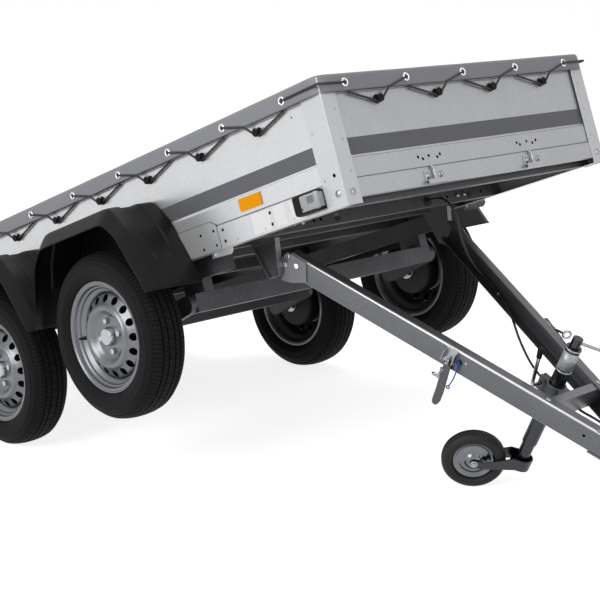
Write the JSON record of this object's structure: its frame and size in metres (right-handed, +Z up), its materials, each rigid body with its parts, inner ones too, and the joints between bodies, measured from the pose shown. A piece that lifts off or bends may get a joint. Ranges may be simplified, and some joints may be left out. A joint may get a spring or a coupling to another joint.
{
  "type": "twin-axle tipping utility trailer",
  "caption": "Tipping twin-axle utility trailer with galvanised bed, laced flat cover, black mudguards, V drawbar and jockey wheel",
  "frame": {"origin": "on the floor under the middle of the trailer's length and width, as it stands tipped", "axes": "+X forwards to the coupling, +Y to the trailer's left, +Z up"},
  "size_m": [3.4608, 1.652, 1.3066],
  "materials": {
    "galvanised_side": "galvanised, satin",
    "galvanised_front": "galvanised, satin",
    "galvanised_frame": "hot-dip galvanised, dull",
    "plywood_floor": "film-faced, matt",
    "tarpaulin": "coated fabric, satin",
    "black_plastic": "moulded, fine grain",
    "clear_lens": "moulded, clear",
    "orange_reflector": "moulded, prismatic",
    "red_lamp": "moulded, prismatic",
    "tyre_rubber": "moulded, matt",
    "cable_rubber": "extruded, matt",
    "silver_rim": "silver paint, satin",
    "zinc_bright": "zinc plated, bright"
  },
  "bodies": {
    "bed": {"floor_board": "plywood_floor", "side_wall_left": "galvanised_side", "side_wall_right": "galvanised_side", "front_wall": "galvanised_front", "corner_posts": "galvanised_front", "cross_members": "galvanised_frame", "cable_grommet": "cable_rubber", "axle_rails": "galvanised_frame", "hinge_brackets": "galvanised_frame", "catch_hooks": "galvanised_frame", "gusset_plates": "galvanised_side", "side_reflectors": "orange_reflector", "position_lamps": "black_plastic", "lamp_lenses": "clear_lens", "lamp_brackets": "galvanised_frame", "tail_lamps": "red_lamp", "cover": "tarpaulin", "cover_flap": "tarpaulin", "cover_hooks": "black_plastic", "tailgate_hinges": "galvanised_front", "axle_front": "galvanised_frame", "axle_rear": "galvanised_frame", "mudguard_front_left": "black_plastic", "mudguard_front_right": "black_plastic", "mudguard_rear_left": "black_plastic", "mudguard_rear_right": "black_plastic"},
    "drawbar": {"leg_right": "galvanised_frame", "leg_left": "galvanised_frame", "hinge_plates": "galvanised_frame", "cross_beam": "galvanised_frame", "jockey_clamp": "zinc_bright", "clamp_handle": "black_plastic", "jockey_tube": "zinc_bright", "crank": "zinc_bright", "nose_plates": "galvanised_frame", "coupling": "zinc_bright", "coupling_handle": "black_plastic", "latch_brackets": "galvanised_frame", "latch_levers": "black_plastic", "cable": "cable_rubber", "plug": "black_plastic", "plug_holder": "black_plastic"},
    "tailgate": {"tailgate_panel": "galvanised_front"},
    "wheel_front_left": {"tyre_front_left": "tyre_rubber", "rim_front_left": "silver_rim", "hub_front_left": "zinc_bright"},
    "wheel_front_right": {"tyre_front_right": "tyre_rubber", "rim_front_right": "silver_rim", "hub_front_right": "zinc_bright"},
    "wheel_rear_left": {"tyre_rear_left": "tyre_rubber", "rim_rear_left": "silver_rim", "hub_rear_left": "zinc_bright"},
    "wheel_rear_right": {"tyre_rear_right": "tyre_rubber", "rim_rear_right": "silver_rim", "hub_rear_right": "zinc_bright"},
    "jockey_stem": {"jockey_stem": "zinc_bright"},
    "jockey_fork": {"jockey_fork": "zinc_bright"},
    "jockey_wheel": {"jockey_tyre": "tyre_rubber", "jockey_disc": "zinc_bright"}
  },
  "joints": [
    {"name": "bed_tipping", "type": "hinge", "parent": "bed", "child": "drawbar", "pos_m": [0.42211, 0, 0.68138], "axis": [0, 1, 0], "range_deg": [-45, 5], "deforming": ["cable"]},
    {"name": "tailgate_drop", "type": "hinge", "parent": "bed", "child": "tailgate", "pos_m": [-1.59816, 0, 0.14802], "axis": [0, -1, 0], "range_deg": [0, 90], "deforming": ["cover_flap"]},
    {"name": "wheel_front_left_roll", "type": "hinge", "parent": "bed", "child": "wheel_front_left", "pos_m": [0.00962, 0.725, 0.4835], "axis": [0, 1, 0], "continuous": true},
    {"name": "wheel_front_right_roll", "type": "hinge", "parent": "bed", "child": "wheel_front_right", "pos_m": [0.00962, -0.725, 0.4835], "axis": [0, 1, 0], "continuous": true},
    {"name": "wheel_rear_left_roll", "type": "hinge", "parent": "bed", "child": "wheel_rear_left", "pos_m": [-0.65289, 0.725, 0.2735], "axis": [0, 1, 0], "continuous": true},
    {"name": "wheel_rear_right_roll", "type": "hinge", "parent": "bed", "child": "wheel_rear_right", "pos_m": [-0.65289, -0.725, 0.2735], "axis": [0, 1, 0], "continuous": true},
    {"name": "jockey_wind", "type": "slide", "parent": "drawbar", "child": "jockey_stem", "axis": [-0.4604, 0, -0.8877], "range_m": [-0.01, 0.15]},
    {"name": "jockey_swivel", "type": "hinge", "parent": "jockey_stem", "child": "jockey_fork", "pos_m": [1.08304, 0, 0.12907], "axis": [0.4604, 0, 0.8877], "continuous": true},
    {"name": "jockey_wheel_roll", "type": "hinge", "parent": "jockey_fork", "child": "jockey_wheel", "pos_m": [0.95494, -0.0997, 0.09863], "axis": [-0.6277, 0.7071, 0.3256], "continuous": true}
  ]
}
